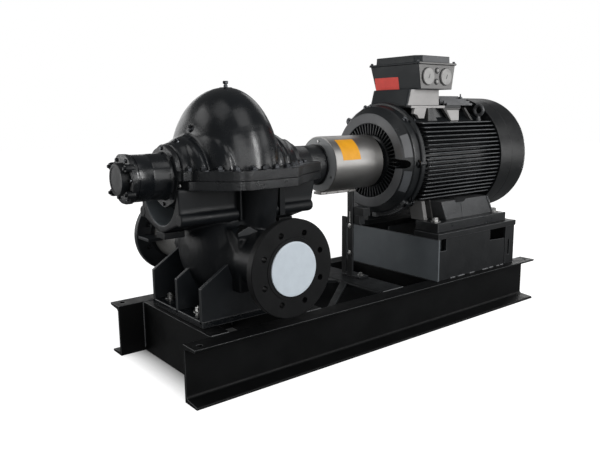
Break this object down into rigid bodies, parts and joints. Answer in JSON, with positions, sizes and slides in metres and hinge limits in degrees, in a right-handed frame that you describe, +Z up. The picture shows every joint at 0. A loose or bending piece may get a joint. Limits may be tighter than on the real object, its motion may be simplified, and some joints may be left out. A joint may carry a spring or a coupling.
{
  "type": "horizontal split-case pump set",
  "caption": "Double-suction pump with side nozzles, driven through a guarded coupling by a finned electric motor, on one steel base frame.",
  "frame": {"origin": "on the floor, under the shaft, on the underside of the middle cross beam", "axes": "+X along the shaft from the pump to the motor, +Y to the far nozzle, +Z up"},
  "size_m": [1.789, 0.8026, 1.0493],
  "materials": {
    "frame_paint": "satin black paint on welded steel",
    "pump_casting": "glossy black paint over cast iron",
    "motor_paint": "glossy black paint",
    "guard_steel": "brushed",
    "bright_steel": "zinc plated",
    "dark_steel": "oiled",
    "white_cover": "matt white",
    "black_plastic": "matt black",
    "orange_patch": "plain film",
    "red_patch": "plain film"
  },
  "bodies": {
    "root": {"near_beam": "frame_paint", "far_beam": "frame_paint", "left_cross_channel": "frame_paint", "pump_cross_channel": "frame_paint", "middle_cross_beam": "frame_paint", "motor_front_channel": "frame_paint", "motor_rear_channel": "frame_paint", "near_brace": "frame_paint", "far_brace": "frame_paint", "pedestal_front_plate": "frame_paint", "pedestal_rear_plate": "frame_paint", "pedestal_near_plate": "frame_paint", "pedestal_far_plate": "frame_paint", "pedestal_near_post": "frame_paint", "pedestal_far_post": "frame_paint", "near_motor_rail": "frame_paint", "far_motor_rail": "frame_paint", "upper_casing": "pump_casting", "lower_casing": "pump_casting", "outboard_bearing_housing": "pump_casting", "outboard_bearing_cover": "pump_casting", "drive_end_bearing_housing": "pump_casting", "drive_end_bearing_cover": "pump_casting", "vent_plug": "bright_steel", "near_flange_cover": "white_cover", "far_flange_cover": "white_cover", "shaft_coupling": "dark_steel", "coupling_guard": "guard_steel", "guard_pump_plate": "guard_steel", "guard_motor_plate": "guard_steel", "guard_strip": "guard_steel", "guard_upright": "frame_paint", "motor_frame": "motor_paint", "drive_end_shield": "motor_paint", "shield_bearing_cap": "motor_paint", "fan_cover": "motor_paint", "near_motor_foot": "motor_paint", "far_motor_foot": "motor_paint", "terminal_pad": "motor_paint", "terminal_neck": "motor_paint", "terminal_box": "motor_paint", "terminal_box_lid": "motor_paint", "rear_top_plate": "motor_paint", "lifting_eye": "motor_paint", "left_cable_plug": "black_plastic", "right_cable_plug": "black_plastic"}
  },
  "joints": []
}
